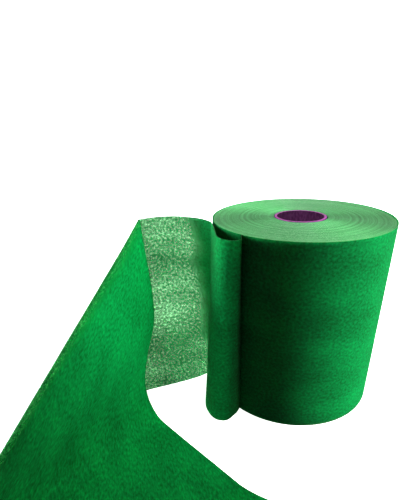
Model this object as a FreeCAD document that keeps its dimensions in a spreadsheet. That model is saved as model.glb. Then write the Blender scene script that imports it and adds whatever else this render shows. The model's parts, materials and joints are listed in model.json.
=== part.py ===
import FreeCAD, Part
import math
import os
import Sketcher
from FreeCAD import Vector

# Roll of thin nonwoven backdrop web, standing on one end with its free end drawn off.
# The axis of the roll is +Z and its lower end face is the plane z = 0.
# The free web leaves the front left of the roll, doubles back in a loop, runs off to
# the left on its edge, is folded over a long diagonal and comes forward on the floor.

doc = FreeCAD.newDocument("BackdropRoll")

# ---------------------------------------------------------------- driving sizes
SIZES = [
    ("roll_diameter", 294.0, "over the outer turn"),
    ("web_width", 320.0, "width of the web, and so the height of the standing roll"),
    ("core_bore", 76.2, "inside diameter of the core, for a 3 inch bar"),
    ("core_wall", 4.0, "whole wall of the spiral-wound core"),
    ("liner_ply", 0.6, "inner ply of the core"),
    ("cover_ply", 0.6, "outer ply of the core"),
    ("tape_gauge", 0.3, "tape that starts the web on the core"),
    ("tape_width", 25.0, "width of that tape, round the core"),
    ("tape_margin", 10.0, "from each end of the core to the tape"),
    ("turn_gap", 0.3, "clearance between the outer turn and the wound web"),
    ("web_gauge", 1.2, "thickness of the solids that stand for the free web"),
    ("part_gap", 0.3, "clearance between neighbouring solids of the web"),
    ("peel_angle", 238.0, "where the web leaves the roll, in degrees from +X"),
    ("run_angle", -30.3, "way the web runs on the floor, in degrees from +X"),
    ("fold_reach", 365.0, "length of the diagonal fold along the floor"),
    ("fold_lean", 48.0, "how far the foot of the fold comes forward"),
    ("fold_gap", 4.0, "between the two layers at the diagonal fold"),
    ("front_foot", 62.0, "from the standing web to where the front layer meets the floor"),
    ("front_shift", 31.0, "sideways, from the standing web to the edge of the floor run"),
    ("front_belly", 14.0, "how far the front layer stands out at half height"),
    ("floor_length", 165.0, "part of the floor run that lies flat"),
    ("curl_radius", 150.0, "radius of the curl at the cut end"),
    ("curl_angle", 45.0, "angle that the curl turns through, in degrees"),
    ("floor_gauge", 1.6, "thickness of the solid that stands for the floor run"),
]

sheet = doc.addObject("Spreadsheet::Sheet", "Sizes")
for row, (alias, value, note) in enumerate(SIZES, start=1):
    sheet.set(f"A{row}", alias)
    sheet.set(f"B{row}", str(value))
    sheet.set(f"C{row}", note)
    sheet.setAlias(f"B{row}", alias)
doc.recompute()


def size(alias):
    return float(sheet.get(alias))


CORE_OUTER = "(Sizes.core_bore / 2 + Sizes.core_wall)"
PACK_OUTER = "(Sizes.roll_diameter / 2 - Sizes.web_gauge - Sizes.turn_gap)"


def origin_plane(body, role):
    for feature in body.Origin.OriginFeatures:
        if feature.Role == role:
            return feature


def new_body(name):
    body = doc.addObject("PartDesign::Body", name)
    body.Label = name
    return body


def new_sketch(body, name, role):
    sketch = body.newObject("Sketcher::SketchObject", name)
    sketch.AttachmentSupport = [(origin_plane(body, role), "")]
    sketch.MapMode = "FlatFace"
    return sketch


def bind(sketch, constraint, alias, expression):
    index = sketch.addConstraint(constraint)
    sketch.renameConstraint(index, alias)
    sketch.setExpression(f"Constraints.{alias}", expression)


# ---------------------------------------------------------------- tubes of the roll
def tube(name, outer, inner):
    """Round tube as long as the web is wide; outer and inner are radius expressions."""
    body = new_body(name)
    ring = new_sketch(body, name + "_ring", "XY_Plane")
    for index, (alias, expression) in enumerate((("outer", outer), ("inner", inner))):
        ring.addGeometry(Part.Circle(Vector(0, 0, 0), Vector(0, 0, 1), 60.0 - 20.0 * index))
        ring.addConstraint(Sketcher.Constraint("Coincident", index, 3, -1, 1))
        bind(ring, Sketcher.Constraint("Radius", index, 60.0 - 20.0 * index), alias, expression)
    pad = body.newObject("PartDesign::Pad", name + "_pad")
    pad.Profile = ring
    pad.setExpression("Length", "Sizes.web_width")
    return body


def shell_arc(name, inner, gauge, low, height, angle, start_deg):
    """Part of a tube wall: a rectangle turned about the roll's axis through an angle."""
    body = new_body(name)
    wall = new_sketch(body, name + "_wall", "XZ_Plane")
    corners = [Vector(50, 10, 0), Vector(60, 10, 0), Vector(60, 90, 0), Vector(50, 90, 0)]
    for index in range(4):
        wall.addGeometry(Part.LineSegment(corners[index], corners[(index + 1) % 4]))
    for index in range(4):
        wall.addConstraint(Sketcher.Constraint("Coincident", index, 2, (index + 1) % 4, 1))
    for index, kind in enumerate(("Horizontal", "Vertical", "Horizontal", "Vertical")):
        wall.addConstraint(Sketcher.Constraint(kind, index))
    bind(wall, Sketcher.Constraint("DistanceX", -1, 1, 0, 1, 50.0), "inner", inner)
    bind(wall, Sketcher.Constraint("DistanceX", 0, 1, 0, 2, 10.0), "gauge", gauge)
    bind(wall, Sketcher.Constraint("DistanceY", 1, 1, 1, 2, 80.0), "height", height)
    if low == "0":
        wall.addConstraint(Sketcher.Constraint("PointOnObject", 0, 1, -1))
    else:
        bind(wall, Sketcher.Constraint("DistanceY", -1, 1, 0, 1, 10.0), "low", low)
    turn = body.newObject("PartDesign::Revolution", name + "_turn")
    turn.Profile = wall
    turn.ReferenceAxis = (wall, ["V_Axis"])
    turn.setExpression("Angle", angle)
    body.Placement.Rotation = FreeCAD.Rotation(Vector(0, 0, 1), start_deg)
    return body


# The core is spiral-wound: a liner, the load-carrying plies and a cover ply.
tube("core_liner", "Sizes.core_bore / 2 + Sizes.liner_ply", "Sizes.core_bore / 2")
tube("core_body", f"{CORE_OUTER} - Sizes.cover_ply", "Sizes.core_bore / 2 + Sizes.liner_ply")
tube("core_cover", CORE_OUTER, f"{CORE_OUTER} - Sizes.cover_ply")
# The first turn is taped to the core, and the pack closes over the tape.
shell_arc("start_tape", CORE_OUTER, "Sizes.tape_gauge", "Sizes.tape_margin",
          "Sizes.web_width - 2 * Sizes.tape_margin",
          f"Sizes.tape_width / {CORE_OUTER} * 180 / pi", 20.0)
tube("wound_web", PACK_OUTER, f"{CORE_OUTER} + Sizes.tape_gauge")

# ---------------------------------------------------------------- free web
roll_radius = size("roll_diameter") / 2
width = size("web_width")
gauge = size("web_gauge")
gap = size("part_gap")
peel = size("peel_angle")
run_way = math.radians(size("run_angle"))
ALONG = Vector(math.cos(run_way), math.sin(run_way), 0)      # way of the floor run
ACROSS = Vector(math.sin(run_way), -math.cos(run_way), 0)    # across it, to its far edge

# The outer turn goes once round the pack and stops short of the loop.
peel_gap_deg = math.degrees((gauge + gap) / roll_radius)
shell_arc("outer_turn", f"{PACK_OUTER} + Sizes.turn_gap", "Sizes.web_gauge", "0",
          "Sizes.web_width", f"360 - 2 * {peel_gap_deg:.6f}", peel + peel_gap_deg)

# Each edge of the free web is a list of stations: the angle back from the peel line
# and the distance out from the roll's surface.
LOOP_FOOT = [(0.0, 2.0), (-1.0, 16.0), (-1.0, 39.0), (4.1, 50.0), (11.6, 48.0),
             (18.3, 39.0), (25.8, 26.0), (33.7, 13.5)]
LOOP_HEAD = [(0.0, 2.0), (-4.7, 17.0), (-2.4, 28.0), (2.9, 32.0), (9.2, 26.0),
             (18.6, 12.5), (26.0, 6.0), (33.0, 4.0)]
STAND_FOOT = [(34.3, 12.8), (40.3, 10.5), (43.6, 14.0), (40.5, 33.0), (37.2, 70.0),
              (34.8, 116.0), (33.9, 141.0)]
STAND_HEAD = [(33.6, 4.0), (36.3, 5.5), (43.4, 19.5), (47.7, 38.0), (50.1, 65.0),
              (49.0, 97.0), (45.2, 125.0)]
CENTRE_OUT = gauge / 2      # stations give the inner face of the web
SEW_TOLERANCE = 0.001


def station(angle_back, stand_off, height):
    angle = math.radians(peel - angle_back)
    radius = roll_radius + stand_off + CENTRE_OUT
    return Vector(radius * math.cos(angle), radius * math.sin(angle), height)


def skin(grid):
    surface = Part.BSplineSurface()
    surface.interpolate(grid)
    return surface.toShape()


def close_sheet(upper, lower):
    """Closed solid between two matching grids of points."""
    faces = [skin(upper), skin(lower)]
    for above, below in zip(faces[0].Edges, faces[1].Edges):
        rim = Part.makeLoft([Part.Wire(above), Part.Wire(below)], False, True)
        faces = faces + rim.Faces
    closed = Part.makeCompound(faces)
    closed.sewShape(SEW_TOLERANCE)
    solid = Part.Solid(closed.Shells[0])
    if solid.Volume < 0:
        solid.reverse()
    return solid


def normals(grid, level):
    """Unit normal of the sheet at each point; level keeps it in the plane."""
    result = []
    for i, row in enumerate(grid):
        line = []
        for j in range(len(row)):
            ahead = grid[min(i + 1, len(grid) - 1)][j] - grid[max(i - 1, 0)][j]
            aside = row[min(j + 1, len(row) - 1)] - row[max(j - 1, 0)]
            across = ahead.cross(Vector(0, 0, 1)) if level else ahead.cross(aside)
            line.append(across.normalize())
        result.append(line)
    return result


def thicken(grid, thickness, level):
    lines = normals(grid, level)
    half = thickness / 2
    upper = [[p + n * half for p, n in zip(row, line)] for row, line in zip(grid, lines)]
    lower = [[p - n * half for p, n in zip(row, line)] for row, line in zip(grid, lines)]
    return close_sheet(upper, lower)


def stand_between(foot, head, rows=4):
    """Grid of a standing sheet: one line of points for each pair of foot and head."""
    return [[low + (high - low) * (k / (rows - 1)) for k in range(rows)]
            for low, high in zip(foot, head)]


def add_sheet(name, solid):
    feature = doc.addObject("Part::Feature", name)
    feature.Label = name
    feature.Shape = solid
    feature.Placement = FreeCAD.Placement()
    return feature


def edge_of(stations, height):
    return [station(angle, stand_off, height) for angle, stand_off in stations]


add_sheet("web_loop", thicken(stand_between(edge_of(LOOP_FOOT, 0), edge_of(LOOP_HEAD, width)),
                              gauge, True))
add_sheet("web_standing_run",
          thicken(stand_between(edge_of(STAND_FOOT, 0), edge_of(STAND_HEAD, width)),
                  gauge, True))

# Corners of the diagonal fold, in the frame of the floor run.
fold_top = edge_of(STAND_HEAD, width)[-1]
stand_foot = edge_of(STAND_FOOT, 0)[-1]
fold_foot = (fold_top + ALONG * size("fold_lean") + ACROSS * size("fold_reach"))
fold_foot.z = 0
BLUNT = 0.97      # the back layer stops short of the point of the fold
step_out = (stand_foot - edge_of(STAND_FOOT, 0)[-2]).normalize() * (gap + gauge / 2)
columns = 7
back_foot = []
back_head = []
for column in range(columns):
    share = BLUNT * column / (columns - 1)
    back_foot.append(stand_foot + (fold_foot - stand_foot) * share + step_out * (1 - share))
    back_head.append(fold_top + (fold_foot - fold_top) * share + step_out * (1 - share))
add_sheet("web_fold_back", thicken(stand_between(back_foot, back_head), gauge, True))

# The front layer hangs from the fold, stands out a little and meets the floor.
lift = Vector(0, 0, gauge / 2)
valley_near = stand_foot + ALONG * size("front_foot") + ACROSS * size("front_shift")
valley_far = valley_near + ACROSS * width
front_top = fold_top + ALONG * size("fold_gap") - lift
front_end = fold_foot + ALONG * size("fold_gap") + lift
front = []
for column in range(columns):
    share = column / (columns - 1)
    head = front_top + (front_end - front_top) * share
    foot = valley_near + (valley_far - valley_near) * share + lift
    belly = ALONG * size("front_belly") * (1 - share)
    front.append([head + (foot - head) * down + belly * math.sin(math.pi * down)
                  for down in (0.0, 0.25, 0.5, 0.75, 1.0)])
add_sheet("web_fold_front", thicken(front, gauge, False))


# ---------------------------------------------------------------- floor run
def floor_run():
    """Flat run with its cut end curling up, drawn in profile and padded across the web."""
    body = new_body("web_floor_run")
    profile = new_sketch(body, "floor_profile", "XZ_Plane")
    flat = size("floor_length")
    bend = size("curl_radius")
    thick = size("floor_gauge")
    turn = math.radians(size("curl_angle"))
    centre = Vector(flat, bend, 0)
    down = -math.pi / 2

    def on_arc(radius):
        return centre + Vector(math.cos(down + turn), math.sin(down + turn), 0) * radius

    up = Vector(0, 0, 1)
    profile.addGeometry(Part.LineSegment(Vector(0, 0, 0), Vector(flat, 0, 0)))
    profile.addGeometry(Part.ArcOfCircle(Part.Circle(centre, up, bend), down, down + turn))
    profile.addGeometry(Part.LineSegment(on_arc(bend), on_arc(bend - thick)))
    profile.addGeometry(Part.ArcOfCircle(Part.Circle(centre, up, bend - thick), down, down + turn))
    profile.addGeometry(Part.LineSegment(Vector(flat, thick, 0), Vector(0, thick, 0)))
    profile.addGeometry(Part.LineSegment(Vector(0, thick, 0), Vector(0, 0, 0)))
    rule = Sketcher.Constraint
    profile.addConstraint(rule("Coincident", 0, 1, -1, 1))
    profile.addConstraint(rule("PointOnObject", 0, 2, -1))
    profile.addConstraint(rule("Tangent", 0, 2, 1, 1))
    profile.addConstraint(rule("Coincident", 1, 2, 2, 1))
    profile.addConstraint(rule("Coincident", 2, 2, 3, 2))
    profile.addConstraint(rule("Coincident", 3, 3, 1, 3))
    profile.addConstraint(rule("PointOnObject", 1, 3, 2))
    profile.addConstraint(rule("Tangent", 3, 1, 4, 1))
    profile.addConstraint(rule("Coincident", 4, 2, 5, 1))
    profile.addConstraint(rule("Coincident", 5, 2, 0, 1))
    profile.addConstraint(rule("PointOnObject", 4, 2, -2))
    bind(profile, rule("DistanceX", 0, 1, 0, 2, flat), "flat", "Sizes.floor_length")
    bind(profile, rule("Radius", 1, bend), "bend", "Sizes.curl_radius")
    bind(profile, rule("DistanceY", 5, 2, 5, 1, thick), "thick", "Sizes.floor_gauge")
    rise = (bend * (1 - math.cos(turn)))
    bind(profile, rule("DistanceY", 0, 2, 1, 2, rise), "rise",
         "Sizes.curl_radius * (1 - cos(Sizes.curl_angle * 1 deg))")
    pad = body.newObject("PartDesign::Pad", "floor_pad")
    pad.Profile = profile
    pad.setExpression("Length", "Sizes.web_width")
    body.Placement = FreeCAD.Placement(valley_near + ALONG * (gauge + gap),
                                       FreeCAD.Rotation(Vector(0, 0, 1), size("run_angle")))


floor_run()

# ---------------------------------------------------------------- check and write
NODES = ["core_liner", "core_body", "core_cover", "start_tape", "wound_web", "outer_turn",
         "web_loop", "web_standing_run", "web_fold_back", "web_fold_front", "web_floor_run"]

doc.recompute()
for item in doc.Objects:
    if "Invalid" in item.State or "Error" in item.State:
        raise RuntimeError(f"{item.Name} failed: {item.State}")

os.makedirs("parts", exist_ok=True)
for name in NODES:
    shape = doc.getObject(name).Shape
    if shape.isNull() or not shape.isValid() or len(shape.Solids) != 1:
        raise RuntimeError(f"{name} is not one valid solid")
    shape.exportStep(f"parts/{name}.step")
    box = shape.BoundBox
    print(f"{name:18s} volume {shape.Volume / 1000:9.1f} cm3  "
          f"x {box.XMin:7.1f} {box.XMax:7.1f}  y {box.YMin:7.1f} {box.YMax:7.1f}  "
          f"z {box.ZMin:6.2f} {box.ZMax:6.2f}")
print("hinge of the free end at", valley_near, "along", ACROSS)
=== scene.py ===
import json
import math
import bpy
import numpy as np
from mathutils import Matrix, Vector


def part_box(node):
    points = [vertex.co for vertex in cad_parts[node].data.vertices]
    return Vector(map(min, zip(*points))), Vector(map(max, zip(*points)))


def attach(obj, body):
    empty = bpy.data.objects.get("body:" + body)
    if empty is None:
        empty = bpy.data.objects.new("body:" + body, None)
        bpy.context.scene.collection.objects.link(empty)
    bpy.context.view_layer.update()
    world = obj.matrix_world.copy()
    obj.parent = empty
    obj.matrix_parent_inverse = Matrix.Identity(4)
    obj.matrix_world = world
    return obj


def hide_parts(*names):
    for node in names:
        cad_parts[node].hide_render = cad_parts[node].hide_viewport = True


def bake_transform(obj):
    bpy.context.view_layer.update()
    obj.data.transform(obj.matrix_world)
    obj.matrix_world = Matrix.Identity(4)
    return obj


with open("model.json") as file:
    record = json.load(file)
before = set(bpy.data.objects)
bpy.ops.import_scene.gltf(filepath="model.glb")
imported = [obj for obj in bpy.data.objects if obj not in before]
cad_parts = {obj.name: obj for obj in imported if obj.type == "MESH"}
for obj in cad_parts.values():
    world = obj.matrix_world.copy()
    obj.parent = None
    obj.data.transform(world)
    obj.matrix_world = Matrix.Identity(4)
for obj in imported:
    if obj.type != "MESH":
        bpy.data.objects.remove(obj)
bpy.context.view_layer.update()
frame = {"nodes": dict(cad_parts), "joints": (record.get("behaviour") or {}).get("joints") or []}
print("frame loaded:", len(frame["nodes"]), "nodes")

# what the frame says about the roll and the web
lift = next(joint for joint in frame["joints"] if joint["name"] == "free_end_lift")
across = np.array(lift["axis"])                        # across the floor run, to its far edge
along = np.array([-across[1], across[0], 0.0])         # the way the web runs on the floor
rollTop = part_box("outer_turn")[1].z
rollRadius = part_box("outer_turn")[1].x
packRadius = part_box("wound_web")[1].x
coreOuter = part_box("core_cover")[1].x


# small tools
def linear(hexColour):          # sRGB hex to the linear colour that a socket takes
    parts = [int(hexColour[i:i + 2], 16) / 255 for i in (1, 3, 5)]
    return [c / 12.92 if c <= 0.04045 else ((c + 0.055) / 1.055) ** 2.4 for c in parts] + [1.0]


def addNode(tree, kind, settings=None, inputs=None):
    node = tree.nodes.new(kind)
    for name, value in (settings or {}).items():
        setattr(node, name, value)
    for name, value in (inputs or {}).items():
        if isinstance(value, bpy.types.NodeSocket):
            tree.links.new(value, node.inputs[name])
        else:
            node.inputs[name].default_value = value
    return node


def addMaterial(name):
    material = bpy.data.materials.new(name)
    material.use_nodes = True
    material.node_tree.nodes.clear()
    return material, material.node_tree


def addObject(name, mesh, material=None):
    piece = bpy.data.objects.new(name, mesh)
    bpy.context.scene.collection.objects.link(piece)
    if material:
        mesh.materials.append(material)
    return piece


def bakeModifiers(piece):       # the evaluated mesh takes the place of mesh and modifiers
    bpy.context.view_layer.update()
    shown = piece.evaluated_get(bpy.context.evaluated_depsgraph_get())
    final = bpy.data.meshes.new_from_object(shown)
    piece.modifiers.clear()
    piece.data = final
    return piece


# camera
cameraSetup = {
    "distance": 0.607, "height": 0.4621,      # from the roll's axis and the floor
    "pitch": 26.23, "yaw": -15.0, "roll": -1.88,
    "lens": 25.5, "shiftUp": 0.096,
}


def buildCamera(setup):
    data = bpy.data.cameras.new("camera")
    data.lens = setup["lens"]
    data.sensor_width = 36
    data.shift_y = setup["shiftUp"]
    camera = bpy.data.objects.new("camera", data)
    bpy.context.scene.collection.objects.link(camera)
    pitch, yaw, roll = (math.radians(setup[k]) for k in ("pitch", "yaw", "roll"))
    forward = Vector((math.sin(yaw) * math.cos(pitch), math.cos(yaw) * math.cos(pitch),
                      -math.sin(pitch)))
    right = Vector((math.cos(yaw), -math.sin(yaw), 0))
    up = right.cross(forward)
    level = Matrix((right * math.cos(roll) + up * math.sin(roll),
                    up * math.cos(roll) - right * math.sin(roll), -forward)).transposed()
    camera.matrix_world = Matrix.Translation((0, -setup["distance"], setup["height"])) @ level.to_4x4()
    bpy.context.scene.camera = camera


buildCamera(cameraSetup)
print("camera set")

# web: the free end of the roll, one sheet from the outer turn to the cut end
webSize = {
    "thickness": 0.0005,       # of the shown web; the real one is nearer 0.15 mm
    "peelAngle": 238.0,        # where it leaves the roll, degrees from +X
    "foldRadius": 0.0055,      # of the soft turn along the diagonal fold
    "ripple": 0.0011,          # height of the soft waves that handling leaves
    "flatRun": 0.165,          # from the valley to where the cut end starts to curl
    "curlRadius": 0.150, "curlAngle": 45.0,
    "step": 0.0035,            # size of the mesh's faces
    "outerSteps": 280, "outerRows": 64,
    "standLength": 0.31, "backLength": 0.256, "frontLength": 0.36,     # rough, for the row counts
    "foldRows": 6,
    "foldAlong": 0.048, "foldAcross": 0.365,       # the fold's foot, from under its top
    "bendRows": 10, "bendPasses": 24,              # how far the valley is rounded
    # how closed the web looks: 1 is closed, 0 lets light through and less is more open still. Partly
    # painted light: the laid web is kept closed as painted shade, hiding the bright floor that lies in
    # shade behind and under it, and both pieces open past 0 at the fold as a painted pale band of light
    # along it
    "looseAt": (0.0, 0.29, 0.35, 0.94, 1.0), "looseCoverAndPaintedLight": (1, 0.9, 0, 0, -0.35),
    "laidAt": (0.0, 0.022, 0.065, 1.0), "laidCoverAndPaintedLight": (-0.35, -0.2, 1, 1),
}
# stations of the standing web: degrees back from the peel line, mm out from the roll
headStations = [(0, 0.3), (-2.2, 8), (-4.7, 17), (-2.4, 28), (2.9, 32), (9.2, 26), (18.6, 12.5),
                (26, 6), (33, 4), (36.3, 5.5), (43.4, 19.5), (47.7, 38), (50.1, 65), (49, 97),
                (45.2, 125)]
footStations = [(0, 0.3), (-1, 8), (-1.5, 17), (-1, 39), (4.1, 50), (11.6, 48), (18.3, 39),
                (25.8, 26), (33.7, 13.5), (40.3, 10.5), (43.6, 14), (40.5, 33), (37.2, 70),
                (34.8, 116), (33.9, 141)]
# near edge of the front layer, down from the fold: along, across and height, mm
frontEdge = [(0, 0, 320), (12, 4, 261), (29, 10, 192), (44, 25, 143), (59, 53, 101),
             (73, 74, 65), (88, 80, 32), (109, 78, 0)]


def smoothLine(points, count):       # evenly spaced, along a smooth line through the points
    pts = np.array(points, float)
    ends = np.vstack([2 * pts[0] - pts[1], pts, 2 * pts[-1] - pts[-2]])
    line = []
    for a, b, c, d in zip(ends[:-3], ends[1:-2], ends[2:-1], ends[3:]):
        t = np.linspace(0, 1, 24, endpoint=False)[:, None]
        line.append(0.5 * (2 * b + (c - a) * t + (2 * a - 5 * b + 4 * c - d) * t ** 2
                           + (3 * b - a - 3 * c + d) * t ** 3))
    return evenly(np.vstack(line + [pts[-1:]]), count)


def evenly(line, count):
    run = np.concatenate([[0], np.cumsum(np.linalg.norm(np.diff(line, axis=0), axis=1))])
    at = np.linspace(0, run[-1], count)
    return np.stack([np.interp(at, run, line[:, k]) for k in range(line.shape[1])], axis=1)


def lengthOf(line):
    return float(np.linalg.norm(np.diff(line, axis=0), axis=1).sum())


def planPoints(stations, height):
    result = []
    for back, out in stations:
        angle = math.radians(webSize["peelAngle"] - back)
        radius = rollRadius + out / 1000
        result.append((radius * math.cos(angle), radius * math.sin(angle), height))
    return result


width = rollTop
rows = int(width / webSize["step"]) + 1
share = np.linspace(0, 1, rows)[None, :, None]       # 0 at the head edge, 1 at the foot edge

# the loop and the standing run, ruled between the head edge and the foot edge
pair = np.hstack([planPoints(headStations, width), planPoints(footStations, 0.0)])
standCount = int(webSize["standLength"] / webSize["step"])
edges = smoothLine(pair, standCount)
standing = edges[:, None, :3] * (1 - share) + edges[:, None, 3:] * share

# the back layer goes on to the diagonal fold; each row keeps its height
foldTop = standing[-1, 0]
foldFoot = foldTop + along * webSize["foldAlong"] + across * webSize["foldAcross"]
foldFoot[2] = 0
foldLine = foldTop[None, :] * (1 - share[0]) + foldFoot[None, :] * share[0]
foldWay = (foldFoot - foldTop) / np.linalg.norm(foldFoot - foldTop)
foldOut = along - foldWay * (along @ foldWay)
foldOut /= np.linalg.norm(foldOut)                   # from the back layer to the front one
foldTip = np.cross(foldWay, foldOut)
foldTip *= np.sign(foldTip[2])                       # out past the fold, in the web's plane
r = webSize["foldRadius"]
small = np.minimum(share[0] * 8, 1) * np.minimum((1 - share[0]) * 12, 1)
radii = r * (0.35 + 0.65 * small)                    # the fold is tighter at its two ends
backEnd = foldLine - foldTip * radii
backStart = standing[-1]
backCount = int(webSize["backLength"] / webSize["step"])
g = np.linspace(0, 1, backCount)[:, None, None]
reach = np.linalg.norm(backEnd - backStart, axis=1)[:, None]
startWay = standing[-1] - standing[-3]
startWay /= np.linalg.norm(startWay, axis=1)[:, None]


def hermite(p0, p1, t0, t1, g):
    return ((2 * g ** 3 - 3 * g ** 2 + 1) * p0 + (g ** 3 - 2 * g ** 2 + g) * t0
            + (3 * g ** 2 - 2 * g ** 3) * p1 + (g ** 3 - g ** 2) * t1)


backWay = (backEnd - backStart) / np.maximum(reach, 1e-6)
backLayer = hermite(backStart[None], backEnd[None], (startWay * reach * 0.9)[None],
                    (backWay * reach)[None], g)[1:]


def foldTurn(first, last, count):    # 0 is the back layer, 180 the front layer
    turn = np.radians(np.linspace(first, last, count))[:, None, None]
    centre = foldLine - foldTip * radii + foldOut * radii
    return centre[None] + radii[None] * (foldTip * np.sin(turn) - foldOut * np.cos(turn))


foldRows = webSize["foldRows"]
looseGrid = np.concatenate([standing, backLayer, foldTurn(0, 90, foldRows)[1:]])

# the front layer: from the fold down to the valley on the floor
frontCount = int(webSize["frontLength"] / webSize["step"])
edge = smoothLine(np.array(frontEdge) / 1000, frontCount)
edgeAt = edge[:, :1] * along + edge[:, 1:2] * across + edge[:, 2:] * [0, 0, 1]
down = np.linspace(0, 1, frontCount)[:, None]
bulge = edgeAt - (edgeAt[0] * (1 - down) + edgeAt[-1] * down)
frontStart = foldTurn(180, 180, 1)[0]
valleyNear = foldTop * [1, 1, 0] + edgeAt[-1] * [1, 1, 0]
valleyLine = valleyNear + across * width * share[0]
frontLayer = (frontStart[None] * (1 - down[:, :, None]) + valleyLine[None] * down[:, :, None]
              + bulge[:, None, :] * (1 - share) ** 1.3)

# the floor run, flat and then curling up
flat = webSize["flatRun"]
curl = math.radians(webSize["curlAngle"])
runLength = flat + webSize["curlRadius"] * curl
runCount = int(runLength / webSize["step"])
at = np.linspace(0, runLength, runCount)[1:]
turned = np.clip((at - flat) / webSize["curlRadius"], 0, None)
outward = np.minimum(at, flat) + webSize["curlRadius"] * np.sin(turned)
upward = webSize["curlRadius"] * (1 - np.cos(turned))
floorRun = (valleyLine[None] + outward[:, None, None] * along
            + upward[:, None, None] * np.array([0, 0, 1.0]))
laidGrid = np.concatenate([foldTurn(90, 180, foldRows)[:-1], frontLayer, floorRun])


def softenRows(grid, first, last, passes):     # rounds the web across a bend
    for _ in range(passes):
        part = grid[first:last]
        middle = (grid[first - 1:last - 1] + grid[first + 1:last + 1]) / 2
        grid[first:last] = part * 0.5 + middle * 0.5
    return grid


bendRow = foldRows - 1 + frontCount
bendRows = webSize["bendRows"]
laidGrid = softenRows(laidGrid, bendRow - bendRows, bendRow + bendRows, webSize["bendPasses"])


def flatMap(grid):                   # place of each point in the flat web, in metres
    steps = np.linalg.norm(np.diff(grid, axis=0), axis=2)
    run = np.concatenate([np.zeros((1, grid.shape[1])), np.cumsum(steps, axis=0)])
    lay = np.linspace(0, width, grid.shape[1])[None, :].repeat(grid.shape[0], 0)
    return np.stack([run, lay], axis=2)


def rippled(grid, firstFade, lastFade):        # soft waves that die out at both ends
    ahead = np.gradient(grid, axis=0)
    aside = np.gradient(grid, axis=1)
    normal = np.cross(ahead, aside)
    normal /= np.maximum(np.linalg.norm(normal, axis=2, keepdims=True), 1e-9)
    place = flatMap(grid)
    run, lay = place[:, :, 0], place[:, :, 1]
    wave = (np.sin(run * 61 + lay * 17) * 0.5 + np.sin(run * 23 - lay * 41 + 1.7) * 0.4
            + np.sin(run * 97 + lay * 73 + 0.6) * 0.15)
    rowShare = np.linspace(0, 1, grid.shape[0])
    fade = np.clip(rowShare / firstFade, 0, 1) * np.clip((1 - rowShare) / lastFade, 0, 1)
    return grid + normal * (wave * fade[:, None] * webSize["ripple"])[:, :, None]


def gridPiece(name, grid, uv, material, thickness, coverAndPaintedLight):
    n, m = grid.shape[:2]
    index = np.arange(n * m).reshape(n, m)
    quads = np.stack([index[:-1, :-1], index[1:, :-1], index[1:, 1:], index[:-1, 1:]], axis=2)
    quads = quads.reshape(-1, 4)
    mesh = bpy.data.meshes.new(name)
    mesh.from_pydata(grid.reshape(-1, 3).tolist(), [], quads.tolist())
    layer = mesh.uv_layers.new(name="flat")
    layer.data.foreach_set("uv", uv.reshape(-1, 2)[quads.reshape(-1)].astype(np.float32).ravel())
    # the cover attribute carries painted light as well as the web's own openness
    mesh.attributes.new("webCoverAndPaintedLight", "FLOAT", "POINT").data.foreach_set(
        "value", np.broadcast_to(coverAndPaintedLight, (n, m)).astype(np.float32).ravel())
    mesh.shade_smooth()
    piece = addObject(name, mesh, material)
    solid = piece.modifiers.new("gauge", "SOLIDIFY")
    solid.thickness = thickness
    solid.offset = 0
    solid.use_even_offset = False
    # the rim faces take the painted highlight of the cut edge
    solid.material_offset_rim = 1
    piece.data.materials.append(edgeHighlightMaterial)
    bakeModifiers(piece)
    places = np.zeros(len(piece.data.vertices) * 3, np.float32)
    piece.data.vertices.foreach_get("co", places)
    places[2::3] = np.maximum(places[2::3], 0)          # nothing reaches under the floor
    piece.data.vertices.foreach_set("co", places)
    piece.data.update()
    return piece


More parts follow.
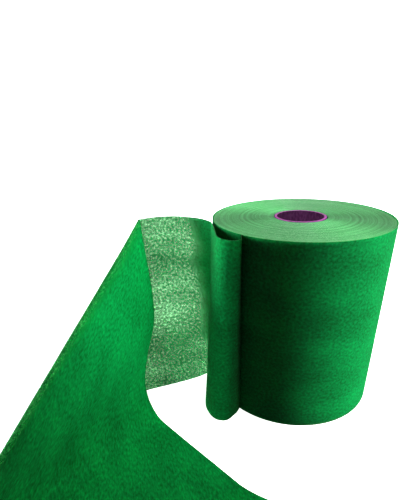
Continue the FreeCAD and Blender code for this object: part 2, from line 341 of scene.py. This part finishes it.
# materials
# Spunbonded nonwoven, dyed green: laid fibres bonded into a thin cloudy web. It is matt, and
# its cover is uneven, so one layer lets light and what is behind it through and two hardly do.
def addWebMaterial():
    material, tree = addMaterial("spunbondedNonwoven")
    flatCoord = addNode(tree, "ShaderNodeUVMap", {"uv_map": "flat"}).outputs["UV"]
    # uneven laydown: clouds 50 mm across, drawn out along the web, and clumps 4 mm across
    drawn = addNode(tree, "ShaderNodeMapping", None,
                    {"Vector": flatCoord, "Scale": (0.45, 1, 1)}).outputs["Vector"]
    cloud = addNode(tree, "ShaderNodeTexNoise", None,
                    {"Vector": drawn, "Scale": 1 / 0.050, "Detail": 2.0, "Roughness": 0.5})
    # single fibres are 0.02 mm thick, too fine to show, so clumps stand for them
    clump = addNode(tree, "ShaderNodeTexNoise", None,
                    {"Vector": flatCoord, "Scale": 1 / 0.0042, "Detail": 2.0, "Roughness": 0.6})
    both = addNode(tree, "ShaderNodeMix", {"data_type": "FLOAT"},
                   {"Factor": 0.66, "A": cloud.outputs["Fac"], "B": clump.outputs["Fac"]})
    # the attribute is partly painted light: closed on the laid web as painted shade, open past 0 at the
    # fold as a painted pale band
    closedAndPaintedLight = addNode(tree, "ShaderNodeAttribute", {"attribute_name": "webCoverAndPaintedLight"}).outputs["Fac"]
    least = addNode(tree, "ShaderNodeMapRange", {"clamp": False},
                    {"Value": closedAndPaintedLight, "To Min": 0.16, "To Max": 0.985})
    most = addNode(tree, "ShaderNodeMapRange", None,
                   {"Value": closedAndPaintedLight, "To Min": 0.97, "To Max": 0.998})
    coverAndPaintedLight = addNode(tree, "ShaderNodeMapRange", None,
                    {"Value": both.outputs["Result"], "From Min": 0.24, "From Max": 0.77,
                     "To Min": least.outputs["Result"], "To Max": most.outputs["Result"]})
    tone = addNode(tree, "ShaderNodeValToRGB", None, {"Fac": both.outputs["Result"]})
    tone.color_ramp.elements[0].position = 0.36
    tone.color_ramp.elements[0].color = linear("#06C67A")
    tone.color_ramp.elements[1].position = 0.64
    tone.color_ramp.elements[1].color = linear("#01924F")
    bump = addNode(tree, "ShaderNodeBump", None,
                   {"Height": clump.outputs["Fac"], "Strength": 0.12, "Distance": 0.0005})
    fibre = addNode(tree, "ShaderNodeBsdfPrincipled", None,
                    {"Base Color": tone.outputs["Color"], "Roughness": 0.82, "IOR": 1.49,
                     "Specular IOR Level": 0.2, "Sheen Weight": 0.3, "Sheen Roughness": 0.4,
                     "Normal": bump.outputs["Normal"]})
    fibre.inputs["Sheen Tint"].default_value = linear("#B9E2B4")
    glow = addNode(tree, "ShaderNodeBsdfTranslucent", None,
                   {"Color": tone.outputs["Color"], "Normal": bump.outputs["Normal"]})
    cloth = addNode(tree, "ShaderNodeMixShader", None, {"Fac": 0.5})
    tree.links.new(fibre.outputs[0], cloth.inputs[1])
    tree.links.new(glow.outputs[0], cloth.inputs[2])
    gaps = addNode(tree, "ShaderNodeBsdfTransparent", None, {"Color": linear("#DDF3DE")})
    surface = addNode(tree, "ShaderNodeMixShader", None, {"Fac": coverAndPaintedLight.outputs["Result"]})
    tree.links.new(gaps.outputs[0], surface.inputs[1])
    tree.links.new(cloth.outputs[0], surface.inputs[2])
    out = addNode(tree, "ShaderNodeOutputMaterial")
    tree.links.new(surface.outputs[0], out.inputs["Surface"])
    return material


# Cut edge of the web: a painted highlight, a paler line than the face that stands in for the light the
# thin cut edge catches.
def addEdgeHighlightMaterial():
    material, tree = addMaterial("cutEdgePaintedHighlight")
    # pale base colour: painted highlight along the cut edge
    ends = addNode(tree, "ShaderNodeBsdfPrincipled", None,
                   {"Base Color": linear("#8FD69A"), "Roughness": 0.9, "IOR": 1.49,
                    "Specular IOR Level": 0.2})
    out = addNode(tree, "ShaderNodeOutputMaterial")
    tree.links.new(ends.outputs[0], out.inputs["Surface"])
    return material


# Edges of the wound nonwoven: cut fibre ends, paler than the face and darker between turns. The pale
# tone is also painted light, raised to stand in for light on the roll's top that the low lamps don't
# give.
def addPackEdgeAndLightMaterial():
    material, tree = addMaterial("nonwovenEdgesAndPaintedLight")
    place = addNode(tree, "ShaderNodeTexCoord").outputs["Object"]
    turn = addNode(tree, "ShaderNodeAttribute", {"attribute_name": "turn"})
    ring = addNode(tree, "ShaderNodeTexNoise", {"noise_dimensions": "1D"},
                   {"W": turn.outputs["Fac"], "Scale": 0.35, "Detail": 3.0, "Roughness": 0.7})
    fuzz = addNode(tree, "ShaderNodeTexNoise", None,
                   {"Vector": place, "Scale": 1 / 0.003, "Detail": 3.0, "Roughness": 0.7})
    both = addNode(tree, "ShaderNodeMix", {"data_type": "FLOAT"},
                   {"Factor": 0.35, "A": ring.outputs["Fac"], "B": fuzz.outputs["Fac"]})
    tone = addNode(tree, "ShaderNodeValToRGB", None, {"Fac": both.outputs["Result"]})
    # pale tones: partly the cut ends' own colour, partly painted light on the roll's top
    tone.color_ramp.elements[0].position = 0.35
    tone.color_ramp.elements[0].color = linear("#3E9C54")
    tone.color_ramp.elements[1].position = 0.62
    tone.color_ramp.elements[1].color = linear("#66C27C")
    bump = addNode(tree, "ShaderNodeBump", None,
                   {"Height": fuzz.outputs["Fac"], "Strength": 0.5, "Distance": 0.0008})
    fibre = addNode(tree, "ShaderNodeBsdfPrincipled", None,
                    {"Base Color": tone.outputs["Color"], "Roughness": 0.9, "IOR": 1.49,
                     "Specular IOR Level": 0.2, "Sheen Weight": 0.3, "Normal": bump.outputs["Normal"]})
    out = addNode(tree, "ShaderNodeOutputMaterial")
    tree.links.new(fibre.outputs[0], out.inputs["Surface"])
    return material


# Dyed kraft board, spiral-wound under tension: matt, with faint fibres along the winding.
def addBoardMaterial(name, light, dark, roughness, seam):
    material, tree = addMaterial(name)
    place = addNode(tree, "ShaderNodeTexCoord").outputs["Object"]
    stretch = addNode(tree, "ShaderNodeMapping", None, {"Vector": place, "Scale": (1, 1, 0.35)})
    fibre = addNode(tree, "ShaderNodeTexNoise", None,
                    {"Vector": stretch.outputs["Vector"], "Scale": 1 / 0.0025, "Detail": 4.0})
    tone = addNode(tree, "ShaderNodeValToRGB", None, {"Fac": fibre.outputs["Fac"]})
    tone.color_ramp.elements[0].position = 0.35
    tone.color_ramp.elements[0].color = linear(dark)
    tone.color_ramp.elements[1].position = 0.65
    tone.color_ramp.elements[1].color = linear(light)
    bump = addNode(tree, "ShaderNodeBump", None,
                   {"Height": fibre.outputs["Fac"], "Strength": seam, "Distance": 0.0004})
    board = addNode(tree, "ShaderNodeBsdfPrincipled", None,
                    {"Base Color": tone.outputs["Color"], "Roughness": roughness, "IOR": 1.5,
                     "Specular IOR Level": 0.35, "Normal": bump.outputs["Normal"]})
    out = addNode(tree, "ShaderNodeOutputMaterial")
    tree.links.new(board.outputs[0], out.inputs["Surface"])
    return material


webMaterial = addWebMaterial()
edgeHighlightMaterial = addEdgeHighlightMaterial()
packEdgeAndLightMaterial = addPackEdgeAndLightMaterial()
linerMaterial = addBoardMaterial("purpleLinerPly", "#E49AE0", "#C070BC", 0.55, 0.25)
boardMaterial = addBoardMaterial("magentaBoardPlies", "#D080C4", "#AC5CA4", 0.8, 0.5)
coverMaterial = addBoardMaterial("purpleCoverPly", "#B84CB4", "#8A2C90", 0.6, 0.3)
tapeMaterial = addBoardMaterial("tissueTape", "#EDE8DC", "#D8D0C0", 0.7, 0.2)
print("materials made")

# pieces of the free web
gauge = webSize["thickness"]
outerCount = webSize["outerSteps"]
turnAngle = np.radians(webSize["peelAngle"] + np.linspace(359.6, 0.0, outerCount))
radius = np.linspace(rollRadius - 0.0011, rollRadius, outerCount)
outerRow = np.stack([radius * np.cos(turnAngle), radius * np.sin(turnAngle)], axis=1)
outerRows = webSize["outerRows"]
outerGrid = np.zeros((outerCount, outerRows, 3))
outerGrid[:, :, :2] = outerRow[:, None, :]
outerGrid[:, :, 2] = np.linspace(width, 0, outerRows)[None, :]

outerTurn = gridPiece("outerTurn", outerGrid, flatMap(outerGrid), webMaterial, gauge, 1.0)
looseGrid = rippled(looseGrid, 0.15, 0.12)
# the closed part next to the loop ends on an uneven line, further along at the top
looseShare = np.linspace(0, 1, len(looseGrid))[:, None]
down = share[0].T
wander = 0.006 * np.sin(down * 17) + 0.004 * np.sin(down * 41 + 1)
within = np.clip(looseShare * 8, 0, 1) * np.clip((0.8 - looseShare) * 8, 0, 1)
looseShare = looseShare + (down * 0.045 - 0.02 + wander) * within
looseWeb = gridPiece("looseWeb", looseGrid, flatMap(looseGrid), webMaterial, gauge,
                     np.interp(looseShare, webSize["looseAt"], webSize["looseCoverAndPaintedLight"]))
laidGrid = rippled(laidGrid, 0.15, 0.1)
laidGrid[:, :, 2] = np.maximum(laidGrid[:, :, 2], gauge / 2)
# laid web closed all along as painted shade, with its fold end opened as a painted pale band of light
laidShare = np.linspace(0, 1, len(laidGrid))[:, None]
laidWeb = gridPiece("laidWeb", laidGrid, flatMap(laidGrid), webMaterial, gauge,
                    np.interp(laidShare, webSize["laidAt"], webSize["laidCoverAndPaintedLight"]))
print("web made: loose", round(lengthOf(looseGrid[:, 0]), 3), round(lengthOf(looseGrid[:, -1]), 3),
      "laid", round(lengthOf(laidGrid[:, 0]), 3), round(lengthOf(laidGrid[:, -1]), 3))

# wound web: one long strip wound as a flat spiral
# the radii are those of the strip's middle, so they keep half its thickness clear at each side
windingSize = {"Outer radius": packRadius - 0.0011, "Inner radius": coreOuter + 0.0013,
               "Turns": 64.0, "Height": width, "Edge scatter": 0.0007, "Strip share": 0.9}


def buildWindingTree(material):
    tree = bpy.data.node_groups.new("woundStrip", "GeometryNodeTree")
    tree.interface.new_socket("Geometry", in_out="INPUT", socket_type="NodeSocketGeometry")
    for name in windingSize:
        tree.interface.new_socket(name, in_out="INPUT", socket_type="NodeSocketFloat")
    tree.interface.new_socket("Geometry", in_out="OUTPUT", socket_type="NodeSocketGeometry")
    given = addNode(tree, "NodeGroupInput").outputs

    def calc(operation, first, second=0.0):
        return addNode(tree, "ShaderNodeMath", {"operation": operation},
                       {0: first, 1: second}).outputs[0]

    spiral = addNode(tree, "GeometryNodeCurveSpiral", None,
                     {"Resolution": 96, "Rotations": given["Turns"], "Height": 0.0,
                      "Start Radius": given["Outer radius"], "End Radius": given["Inner radius"]})
    factor = addNode(tree, "GeometryNodeSplineParameter").outputs["Factor"]
    turn = calc("MULTIPLY", factor, given["Turns"])
    marked = addNode(tree, "GeometryNodeStoreNamedAttribute", {"data_type": "FLOAT", "domain": "POINT"},
                     {"Geometry": spiral.outputs["Curve"], "Name": "turn", "Value": turn})
    pitch = calc("DIVIDE", calc("SUBTRACT", given["Outer radius"], given["Inner radius"]),
                 given["Turns"])
    strip = addNode(tree, "GeometryNodeCurvePrimitiveQuadrilateral", None,
                    {"Width": calc("MULTIPLY", pitch, given["Strip share"]),
                     "Height": given["Height"]})
    rounded = addNode(tree, "GeometryNodeFilletCurve", {"mode": "POLY"},
                      {"Curve": strip.outputs["Curve"], "Count": 1,
                       "Radius": calc("MULTIPLY", pitch, 0.3)})
    swept = addNode(tree, "GeometryNodeCurveToMesh", None,
                    {"Curve": marked.outputs["Geometry"], "Profile Curve": rounded.outputs["Curve"],
                     "Fill Caps": True})
    stored = addNode(tree, "GeometryNodeInputNamedAttribute", {"data_type": "FLOAT"},
                     {"Name": "turn"})
    wander = addNode(tree, "ShaderNodeTexNoise", {"noise_dimensions": "1D"},
                     {"W": stored.outputs["Attribute"], "Scale": 0.6, "Detail": 3.0})
    drop = calc("MULTIPLY", calc("SUBTRACT", wander.outputs["Fac"], 0.75),
                given["Edge scatter"])
    height = addNode(tree, "ShaderNodeSeparateXYZ", None,
                     {0: addNode(tree, "GeometryNodeInputPosition").outputs[0]}).outputs["Z"]
    way = calc("SIGN", height)
    offset = addNode(tree, "ShaderNodeCombineXYZ", None,
                     {"Z": calc("ADD", calc("MULTIPLY", drop, way),
                                calc("DIVIDE", given["Height"], 2.0))})
    moved = addNode(tree, "GeometryNodeSetPosition", None,
                    {"Geometry": swept.outputs["Mesh"], "Offset": offset.outputs[0]})
    real = addNode(tree, "GeometryNodeRealizeInstances", None,
                   {"Geometry": moved.outputs["Geometry"]})
    coloured = addNode(tree, "GeometryNodeSetMaterial", None,
                       {"Geometry": real.outputs["Geometry"], "Material": material})
    addNode(tree, "NodeGroupOutput", None, {"Geometry": coloured.outputs["Geometry"]})
    return tree


woundPiece = addObject("woundWeb", bpy.data.meshes.new("woundWeb"))
winding = woundPiece.modifiers.new("winding", "NODES")
winding.node_group = buildWindingTree(packEdgeAndLightMaterial)
for item in winding.node_group.interface.items_tree:
    if item.in_out == "INPUT" and item.name in windingSize:
        winding[item.identifier] = windingSize[item.name]
bakeModifiers(woundPiece)
print("wound web made:", len(woundPiece.data.polygons), "faces")


def repaint(node, material):
    shown = frame["nodes"][node]
    for slot in shown.material_slots:
        slot.material = material
    return shown


repaint("core_liner", linerMaterial)
repaint("core_body", boardMaterial)
repaint("core_cover", coverMaterial)
repaint("start_tape", tapeMaterial)

# pieces to bodies
for piece, node in ((outerTurn, "outer_turn"), (looseWeb, "web_loop")):
    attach(piece, "free_web")
    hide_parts(node)
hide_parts("web_standing_run", "web_fold_back")
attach(woundPiece, "roll")
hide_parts("wound_web")
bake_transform(laidWeb)
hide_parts("web_fold_front", "web_floor_run")


print("pieces ride on their bodies")

# stage: a plain white floor that sweeps up into a wall all round
stageSize = {"reach": 3.2, "bend": 1.2, "wall": 9.0, "sides": 96, "drop": 0.0006}


def buildStage(size):
    profile = [(0.02, 0.0), (size["reach"] - size["bend"], 0.0)]
    for degrees in range(10, 91, 10):
        turn = math.radians(degrees)
        profile.append((size["reach"] + size["bend"] * (math.sin(turn) - 1),
                        size["bend"] * (1 - math.cos(turn))))
    profile.append((size["reach"], size["wall"]))
    points = [(0, 0, -size["drop"])]
    sides = size["sides"]
    for out, up in profile:
        for side in range(sides):
            angle = math.tau * side / sides
            points.append((out * math.cos(angle), out * math.sin(angle), up - size["drop"]))
    faces = [(0, 1 + side, 1 + (side + 1) % sides) for side in range(sides)]
    for ring in range(len(profile) - 1):
        first = 1 + ring * sides
        for side in range(sides):
            after = (side + 1) % sides
            faces.append((first + side, first + sides + side, first + sides + after, first + after))
    mesh = bpy.data.meshes.new("floor")
    mesh.from_pydata(points, [], faces)
    mesh.shade_smooth()
    # matt white board; the sweep glows, as a wall that is lit on its own does
    for name, colour, glow in (("matWhiteFloor", "#F2F2F2", 0.75), ("litSweep", "#808080", 1.0)):
        material, tree = addMaterial(name)
        paint = addNode(tree, "ShaderNodeBsdfPrincipled", None,
                        {"Base Color": linear(colour), "Roughness": 0.95,
                         "Specular IOR Level": 0.0, "Emission Color": linear("#FFFFFF"),
                         "Emission Strength": glow})
        out = addNode(tree, "ShaderNodeOutputMaterial")
        tree.links.new(paint.outputs[0], out.inputs["Surface"])
        mesh.materials.append(material)
    for face in mesh.polygons:
        face.material_index = int(face.index >= 2 * sides)
    floor = addObject("floor", mesh)
    floor.visible_diffuse = False          # it throws no light back on the roll
    floor.visible_shadow = False           # and its wall does not shade it


buildStage(stageSize)


def addLamp(name, kind, place, target, strength, softness):
    data = bpy.data.lights.new(name, kind)
    data.energy = strength
    if kind == "SUN":
        data.angle = math.radians(softness)
    else:
        data.shape = "DISK"
        data.size = softness
    lamp = bpy.data.objects.new(name, data)
    bpy.context.scene.collection.objects.link(lamp)
    lamp.location = place
    lamp.rotation_euler = (Vector(target) - Vector(place)).to_track_quat("-Z", "Y").to_euler()
    return lamp


def lightOnly(lamp, pieces, state):            # INCLUDE lights only the pieces, EXCLUDE skips them
    group = bpy.data.collections.new(lamp.name + "Link")
    for piece in pieces:
        group.objects.link(piece)
    lamp.light_linking.receiver_collection = group
    for linked in group.collection_objects:
        linked.light_linking.link_state = state


# suns are given by where they stand from the origin, with their angle in degrees
lightSetup = {
    "key": ((1.45, 0.0, 0.36), 5.8, 20), "left": ((-1.0, 0.10, 0.18), 4.4, 25),
    "loopLamp": ((-0.20, -0.93, 0.30), 1.15, 20), "boreLamp": ((0.0, -0.5, 1.0), 0.5, 60),
    "webLampPower": 1.45, "webLampSize": 0.3,
    "worldStrength": 0.055, "gamma": 0.7, "exposure": 0.5,
}


def addSun(name):
    place, strength, softness = lightSetup[name]
    return addLamp(name, "SUN", place, (0, 0, 0), strength, softness)


key, left = addSun("key"), addSun("left")
# the roll's own shadow would lie on the free web, so that has lamps of its own instead
webLamp = addLamp("webLamp", "AREA", foldTop + along * 0.28 + across * 0.04 + np.array([0, 0, 0.03]),
                  foldTop + along * 0.03 - np.array([0, 0, 0.08]), lightSetup["webLampPower"],
                  lightSetup["webLampSize"])
loopLamp, boreLamp = addSun("loopLamp"), addSun("boreLamp")
liner = frame["nodes"]["core_liner"]
lightOnly(key, (laidWeb, looseWeb, liner), "EXCLUDE")
lightOnly(left, (liner,), "EXCLUDE")
lightOnly(boreLamp, (liner,), "INCLUDE")
lightOnly(webLamp, (laidWeb,), "INCLUDE")
lightOnly(loopLamp, (looseWeb,), "INCLUDE")
world = bpy.data.worlds.new("studio")
world.use_nodes = True
world.node_tree.nodes["Background"].inputs["Color"].default_value = (1, 1, 1, 1)
world.node_tree.nodes["Background"].inputs["Strength"].default_value = lightSetup["worldStrength"]
bpy.context.scene.world = world
bpy.context.scene.view_settings.view_transform = "Standard"
bpy.context.scene.view_settings.gamma = lightSetup["gamma"]
bpy.context.scene.view_settings.exposure = lightSetup["exposure"]
print("stage and lights set")
